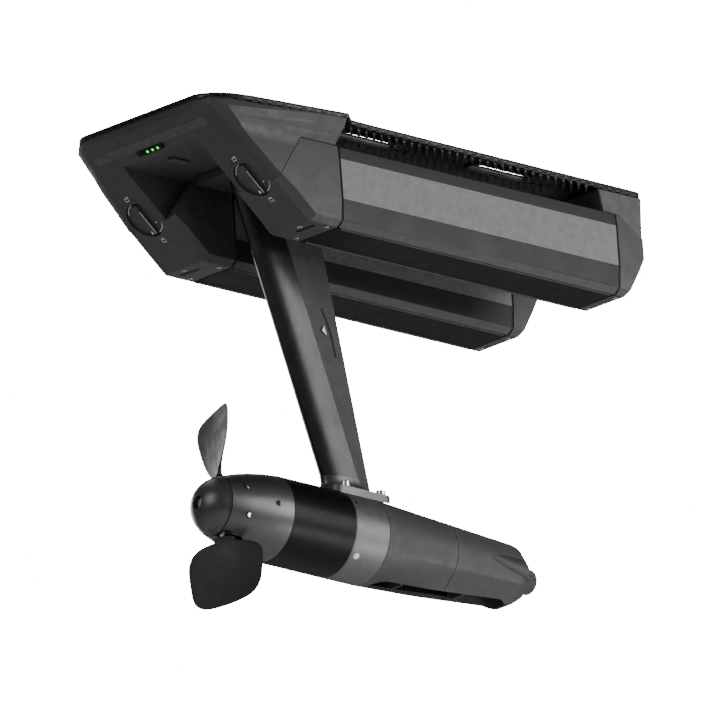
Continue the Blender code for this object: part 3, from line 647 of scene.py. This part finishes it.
def make_dials():
    """Printed padlocks around each finger dial and white marks on it: the two rim arcs and the line along the
    grip's edge are painted highlights, the pointer and small ring are print.
    """
    for label, _ in SIDE_LABELS:
        centre = Vector(JOINTS[f"dial_{label}_turn"]["pos_m"])
        print_and_highlight_lift = RAMP_OUT * (0.18 * MM)
        around = bmesh.new()
        place = on_ramp(centre, 0.02)
        padlock(around, place, -24.5, 1.0, -1.6, print_and_highlight_lift)
        piece(f"unlock_mark_{label}", around, "white", "hull", "housing")
        below = bmesh.new()
        padlock(below, place, 22.6, -3.5, 0.0, print_and_highlight_lift)
        piece(f"lock_mark_{label}", below, "white", f"pack_{label}", "housing")
        face = on_ramp(centre, -2.18)
        marks = bmesh.new()
        # the two white arcs on the dial's rim are painted highlights
        stroke(marks, face, arc_points(0, 0, 16.4, -124, -14, 22), 0.8, print_and_highlight_lift)
        stroke(marks, face, arc_points(0, 0, 16.4, 118, 168, 12), 0.6, print_and_highlight_lift)
        stroke(marks, face, arc_points(6.6, -8.0, 0.7, 0, 320, 10), 0.45, print_and_highlight_lift)
        grip = on_ramp(centre, 0.62)
        # the white line along the grip's edge is a painted highlight; the short bar below is a printed pointer
        stroke(marks, grip, [(-9.0, -2.7), (14.9, -2.7)], 0.55, print_and_highlight_lift)
        stroke(marks, grip, [(12.0, 1.2), (14.8, 1.2)], 1.5, print_and_highlight_lift)
        piece(f"dial_print_and_highlights_{label}", marks, "white", f"dial_{label}", "housing")


# ------------------------------------------------------------------ packs

PACK_Y = 72.0
SHELL_FIRST, SHELL_LAST = 146.2, 443.8
SOLE_HALF = 26.0
SECTION = ((-24.4, 26.0), (-35.4, 28.0), (-71.9, 32.0), (-90.9, 32.0), (-95.9, 26.0))


def make_pack_bands():
    """Light satin bands on both walls, chamfer strips, a near-black sheet on the bottom as painted shade, and
    rails there.
    """
    first, last = SHELL_FIRST, SHELL_LAST
    for label, side in SIDE_LABELS:
        body = f"pack_{label}"
        for wall, name in ((1, "outer"), (-1, "inner")):
            for low, high, what, material in ((1, 2, "band", "band"), (3, 4, "chamfer", "chamfer")):
                (z0, w0), (z1, w1) = SECTION[low], SECTION[high]
                turn = wall * side
                corners = [at(first, side * PACK_Y + turn * w0, z0), at(last, side * PACK_Y + turn * w0, z0),
                           at(last, side * PACK_Y + turn * w1, z1), at(first, side * PACK_Y + turn * w1, z1)]
                normal = Vector((0, turn * abs(z0 - z1), (w1 - w0))).normalized()
                bm = slab([c + normal * 0.02 * MM for c in corners], normal, 0.22 * MM)
                piece(f"pack_{what}_{name}_{label}", bm, material, body, "alloy")
        bottom = SECTION[-1][0]
        # a near-black sheet on the pack's bottom: painted shade
        corners = ((first, -SOLE_HALF), (last, -SOLE_HALF), (last, SOLE_HALF), (first, SOLE_HALF))
        sole = [at(s, side * PACK_Y + w, bottom - 0.02) for s, w in corners]
        piece(f"pack_sole_painted_shade_{label}", slab(sole, Vector((0, 0, -1)), 0.2 * MM), "sole", body, "alloy")
        rails = bmesh.new()
        for offset in (-23.5, 23.5):
            y = side * PACK_Y + offset
            ring = [(y - 1.2, bottom), (y + 1.2, bottom), (y + 0.7, bottom - 0.9), (y - 0.7, bottom - 0.9)]
            loft([[at(s, y, z) for y, z in ring] for s in (first + 3, last - 3)], rails)
        piece(f"pack_rails_{label}", rails, "alloy", body, "alloy")
        make_pack_latch_slot(label, side, bottom)


def make_pack_latch_slot(label, side, bottom):
    """A near-black pill of painted shade for a finger slot and an oval mark under each nose cap, and a screw under
    the tail cap.
    """
    middle = side * (PACK_Y + 6.0)

    def place(u, v):
        return at(126.0 + v, middle + u, bottom - 0.02)
    # near-black pill on the bottom: painted shade of the finger slot
    outline = [place(u, v) for u, v in pill(25.0, 3.4)]
    slot = slab(outline, Vector((0, 0, -1)), 0.15 * MM)
    piece(f"release_slot_shade_{label}", slot, "sole", f"pack_{label}", "housing")
    marks = bmesh.new()
    oval = [(2.6 * math.cos(t / 12 * math.pi), 1.3 * math.sin(t / 12 * math.pi) - 6.2) for t in range(24)]
    stroke(marks, place, oval, 0.5, Vector((0, 0, -0.15 * MM)), True)
    piece(f"release_mark_{label}", marks, "white", f"pack_{label}", "housing")
    for station, offset in ((137.0, 20.0), (137.0, -20.0), (451.0, 18.0), (451.0, -18.0)):
        base = at(station, side * PACK_Y + offset, bottom + 0.05)
        screw = rod(base, base + Vector((0, 0, -0.7 * MM)), 2.3 * MM, 24)
        name = f"cap_screw_{label}_{int(station)}_{'out' if offset > 0 else 'in'}"
        piece(name, screw, "steel", f"pack_{label}", "steel", bevel=0.2 * MM)


# ------------------------------------------------------------------ strut

def mast_edge(z):
    """Station of the strut's leading edge at a height, from the CAD column."""
    low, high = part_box("mast_column")
    column = NODES["mast_column"].data.vertices
    front_low = min(v.co.x for v in column if v.co.z < low[2] + 1 * MM)
    front_high = min(v.co.x for v in column if v.co.z > high[2] - 1 * MM)
    ratio = (z - high[2] / MM) / ((low[2] - high[2]) / MM)
    return ((front_high + (front_low - front_high) * ratio) - DECK_ORIGIN) / MM


MARK_HEIGHT = -154.0
COLUMN_BACK = 32.3
COLUMN_HALF = 11.0
TRAILING_HALF = 3.2
CHORD_AT_DECK = 88.0
CHORD_TAPER = 0.147


def make_mast_details():
    """Flared skirt at the strut's foot, and on the fairing a dark line of painted shade for a shallow groove and
    an arrow.
    """
    foot_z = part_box("mast_column")[0][2] / MM
    rings = []
    for rise, grow in ((11.0, 0.15), (7.5, 0.6), (4.5, 1.5), (2.0, 3.0), (0.2, 5.0)):
        z = foot_z + rise
        edge = mast_edge(z) - grow
        nose, half = 26.0 + grow, 11.0 + grow * 0.8
        ring = []
        for i in range(25):
            angle = math.radians(90 + 180 * i / 24)
            ring.append(at(edge + nose + nose * math.cos(angle), half * math.sin(angle), z))
        back = edge + 32.0 + 1.6 * grow
        ring += [at(back, -half, z), at(back, half, z)]
        rings.append(ring)
    piece("mast_skirt", loft(rings), "anodised", "hull", "anodised", smooth=50)
    for label, side in SIDE_LABELS:
        def place(along, up, side=side):
            z = MARK_HEIGHT + up
            edge = mast_edge(z)
            station = edge + 46.0 + along
            width = fairing_half(station, z)
            return at(station, side * (width + 0.02), z)
        lift = Vector((0, side * 0.12 * MM, 0))
        # a raised dark line standing for the groove: painted shade
        groove = bmesh.new()
        lens = [(8.5 + 2.4 * math.sin(math.pi * i / 14), 20.0 - 40.0 * i / 14) for i in range(15)]
        stroke(groove, place, lens, 0.9, lift)
        piece(f"fairing_groove_painted_shade_{label}", groove, "black_gloss", "hull", "housing")
        corners = [place(-1.0, 0.0), place(4.2, 4.6), place(4.2, -3.0)]
        arrow = slab(corners, Vector((0, side, 0)), 0.15 * MM)
        piece(f"fairing_arrow_{label}", arrow, "white", "hull", "housing")


def fairing_half(station, z):
    """Half thickness of the fairing, which tapers from the column to its trailing edge."""
    start = mast_edge(z) + COLUMN_BACK
    chord = CHORD_AT_DECK - (-28.0 - z) * CHORD_TAPER
    end = mast_edge(z) + chord - 4.0
    share = min(max((station - start) / (end - start), 0.0), 1.0)
    return COLUMN_HALF + (TRAILING_HALF - COLUMN_HALF) * share


# ------------------------------------------------------------------ pod

def pod_plug(name, station, y, rise, radius, material, slot, body, depth=0.5):
    """A small round plug standing square to the pod's skin; the near-black ones are painted shade for holes and
    recesses.
    """
    centre = pod_point(station, y, rise)
    outward = Vector((0, y, rise)).normalized()
    bm = rod(centre - outward * 1.5 * MM, centre + outward * depth * MM, radius * MM, 28)
    return piece(name, bm, material, body, slot, bevel=min(radius * 0.12, 0.3) * MM)


def make_pod_details():
    screws = ((104.0, 27.2, 14.0), (105.0, 28.4, -11.5))
    for side, label in ((-1, "right"), (1, "left")):
        spin = "propeller"
        for index, (station, y, rise) in enumerate(screws, 1):
            place = (station, side * y, rise)
            # near-black disc round each screw: painted shade of its recess
            pod_plug(f"hub_recess_shade_{label}_{index}", *place, 2.9, "sole", "steel", spin, 0.1)
            pod_plug(f"hub_screw_{label}_{index}", *place, 2.0, "steel", "steel", spin, 0.35)
        # near-black disc: painted shade of a hole
        pod_plug(f"hub_hole_shade_{label}", 131.0, side * 35.9, 2.3, 2.7, "sole", "anodised", spin, 0.12)
        pod_plug(f"ring_plug_{label}", 221.0, side * 28.0, -24.9, 2.9, "white", "steel", "hull", 0.25)
        # near-black disc: painted shade of a hole
        pod_plug(f"ring_hole_shade_{label}", 219.0, side * 30.6, 21.4, 1.5, "sole", "anodised", "hull", 0.15)
    for name, station in (("can_lip", 214.6), ("hub_lip", 147.4)):
        radius = POD_RADIUS / MM
        bm = turned(((station - 0.5, radius - 1.2), (station - 0.35, radius + 0.08),
                     (station + 0.35, radius + 0.08), (station + 0.5, radius - 1.2)), 128)
        piece(name, bm, "ring" if name == "can_lip" else "sole", "hull", "anodised", smooth=60)


RING_END = 250.0
TAIL_SPLIT = 328.0
TAIL_END = 418.0
CREASE_ANGLE = -26.0
KEEL_ANGLE = -68.0


def tail_radius(station):
    return POD_RADIUS / MM - (station - RING_END) * 0.064


def tail_section(station, shrink=0.0):
    """Round above, with a crease, a flat flank below it and a narrow flat keel."""
    radius = tail_radius(station) - shrink
    square = min(max((station - RING_END - 4.0) / 70.0, 0.0), 1.0)
    points = []
    count = 96
    for i in range(count):
        angle = -90.0 + 360.0 * i / count
        mirrored = 180.0 - angle if angle > 90.0 else angle
        y, z = math.cos(math.radians(mirrored)), math.sin(math.radians(mirrored))
        if mirrored < CREASE_ANGLE:
            first, last = math.radians(CREASE_ANGLE), math.radians(KEEL_ANGLE)
            share = min((mirrored - CREASE_ANGLE) / (KEEL_ANGLE - CREASE_ANGLE), 1.0)
            flat_y = math.cos(first) + (math.cos(last) * 0.96 - math.cos(first)) * share
            flat_z = math.sin(first) + (-0.975 - math.sin(first)) * share
            if mirrored < KEEL_ANGLE:
                flat_y = math.cos(last) * 0.96 * (mirrored + 90.0) / (KEEL_ANGLE + 90.0)
                flat_z = -0.975
            y, z = y + (flat_y - y) * square, z + (flat_z - z) * square
        sign = -1 if angle > 90.0 else 1
        points.append(pod_point(station, sign * y * radius, z * radius))
    return points


def tube(outer, inner):
    bm = bmesh.new()
    rows = [[bm.verts.new(p) for p in ring] for ring in outer + inner[::-1]]
    count = len(rows[0])
    for k, low in enumerate(rows):
        high = rows[(k + 1) % len(rows)]
        for i in range(count):
            j = (i + 1) % count
            bm.faces.new((low[i], low[j], high[j], high[i]))
    return bm


def keel_slot():
    outline = pill(144.0, 25.0, 16)
    rings = []
    for rise in (-60.0, -14.0):
        rings.append([pod_point(328.0 + u, v, rise) for u, v in outline])
    return loft(rings)


def scoop(side):
    """Leaf-shaped hollow that opens at the pod's tail."""
    rings = []
    for station, radius, rise in ((361.0, 0.3, 4.6), (370.0, 3.4, 3.8), (384.0, 6.0, 2.2), (402.0, 7.6, 0.6),
                                  (424.0, 8.4, -1.0)):
        out = tail_radius(station) + 2.0 - 5.2 * (station - 361.0) / 63.0
        rings.append([pod_point(station, side * out + v * 1.1, rise + u) for u, v in circle(radius, 24)])
    return loft(rings)


def make_tail():
    """Tail shell and cap with a creased flank, keel slot, side scoops and slot ribs."""
    wall = 3.2
    stations = (RING_END + 0.3, 262.0, 276.0, 290.0, 304.0, 318.0, TAIL_SPLIT - 0.25)
    bm = tube([tail_section(s) for s in stations], [tail_section(s, wall) for s in stations])
    shell = piece("tail_shell_skin", bm, "tail", "hull", "housing", 24.0, replaces=("tail_shell",))
    carve(shell, keel_slot())
    rings = [tail_section(s) for s in (TAIL_SPLIT + 0.3, 345.0, 365.0, 385.0, 401.0)]
    base = tail_section(404.0)
    for station, scale in ((404.5, 0.975), (412.0, 0.78), (417.2, 0.64), (TAIL_END, 0.60)):
        ring = []
        for p in base:
            y = p.y * scale
            z = POD_Z + (p.z - POD_Z) * scale
            ring.append(Vector((at(station, 0, 0).x, y, z)))
        rings.append(ring)
    cap = piece("tail_cap_skin", loft(rings), "tail", "hull", "housing", 24.0, replaces=("tail_cap",))
    inside = loft([tail_section(s, wall) for s in (TAIL_SPLIT - 4.0, 340.0, 352.0)])
    carve(cap, inside)
    carve(cap, keel_slot())
    carve(cap, scoop(-1))
    carve(cap, scoop(1))
    ribs = bmesh.new()
    for station in (286.0, 352.0):
        low, high, half = tail_radius(station) - 2.6, 15.0, 11.5
        ring = [(-half, -high), (half, -high), (half, -low * 0.90),
                (7.0, -low), (-7.0, -low), (-half, -low * 0.90)]
        loft([[pod_point(s, y, z) for y, z in ring] for s in (station, station + 1.8)], ribs)
    piece("keel_slot_ribs", ribs, "tail", "hull", "housing", bevel=0.3 * MM)


def make_knob():
    """Knurled drain knob on the tail."""
    rings = []
    profile = ((418.6, 9.6, 0.0), (419.4, 10.5, 0.2), (421.0, 10.9, 0.55),
               (429.2, 10.5, 0.55), (430.8, 9.9, 0.2), (431.9, 8.8, 0.0))
    for station, radius, ridge in profile:
        ring = []
        for i in range(112):
            angle = 2 * math.pi * i / 112
            reach = radius + ridge * (1 if i % 4 in (0, 1) else -1)
            ring.append(pod_point(station, reach * math.cos(angle), reach * math.sin(angle)))
        rings.append(ring)
    piece("knurled_knob", loft(rings), "housing", "knob", "housing", 40.0, replaces=("tail_knob",))


# ------------------------------------------------------------------ propeller

BLADE_ROOT = 27.5
BLADE_TIP = 88.0
BLADE_CHORD = 72.0
BLADE_PITCH = math.radians(20.0)
BLADE_PITCH_RADIUS = 62.0
ROOT_HALF = 9.0
SHOULDER_RADIUS = 31.0


def blade_shape(radius):
    """Half chord and thickness of a blade at a radius: a stout root, then a rounded square."""
    reach = (radius - SHOULDER_RADIUS) / (BLADE_TIP - SHOULDER_RADIUS)
    middle = 2 * max(reach, 0.0) - 1
    squareness = 2.8 if reach < 0.5 else 4.0
    half = BLADE_CHORD / 2 * max(0.0, 1.0 - abs(middle) ** squareness) ** (1 / squareness)
    root = max(0.0, 1.0 - (radius - BLADE_ROOT) / ROOT_HALF)
    thickness = 3.4 - 1.9 * max(reach, 0.0) + 4.2 * root ** 2
    return max(half, ROOT_HALF), thickness


def make_blades():
    """Smooth blades with thin rounded edges and a thick root."""
    hub = Vector(JOINTS["propeller_spin"]["pos_m"])
    for label in ("a", "b"):
        joint = JOINTS[f"blade_{label}_fold"]
        outward = (Vector(joint["pos_m"]) - hub).normalized()
        around = Vector((0, outward.z, -outward.y))
        rings = []
        steps, sides = 48, 48
        for k in range(steps + 1):
            share = (1 - math.cos(math.pi * k / steps)) / 2
            radius = BLADE_ROOT + (BLADE_TIP - BLADE_ROOT) * share
            half, thickness = blade_shape(radius)
            pitch = math.atan(math.tan(BLADE_PITCH) * BLADE_PITCH_RADIUS / radius)
            ring = []
            for i in range(sides):
                angle = 2 * math.pi * i / sides
                chord = half * math.cos(angle)
                face = thickness / 2 * math.sin(angle) - 3.0 * (chord / (BLADE_CHORD / 2)) ** 2 * share
                tangent = chord * math.cos(pitch) - face * math.sin(pitch)
                along = chord * math.sin(pitch) + face * math.cos(pitch)
                ring.append(hub + Vector((along, 0, 0)) * MM + around * tangent * MM + outward * radius * MM)
            rings.append(ring)
        node = f"blade_{label}"
        piece(f"blade_skin_{label}", loft(rings), "blade", node, "housing", 50.0, replaces=(node,))


def make_turned_parts():
    """Smooth versions of the pod's round parts."""
    radius = POD_RADIUS / MM
    can = turned(((147.5, radius), (215.0, radius)), 160)
    piece("motor_can_skin", can, "black_gloss", "hull", "black_gloss", 40.0, 0.3 * MM, 2, ("motor_can",))
    dome = []
    for i in range(22):
        angle = math.radians(76 - 76 * i / 21)
        dome.append((97.0 - 26.3 * math.sin(angle), 26.3 * math.cos(angle)))
    dome = [(s, r) for s, r in dome if s < 88.0] + [(88.6, 25.6), (89.2, 25.3)]
    bm = turned(dome, 128)
    skin = piece("spinner_skin", bm, "anodised", "propeller", "anodised", 40.0, replaces=("spinner",))
    carve(skin, turned(((60.0, 5.6), (77.4, 5.6)), 48))


make_deck_rim()
make_deck_ribs()
make_nose_details()
make_dials()
make_pack_bands()
make_mast_details()
make_pod_details()
make_tail()
make_knob()
make_blades()
make_turned_parts()
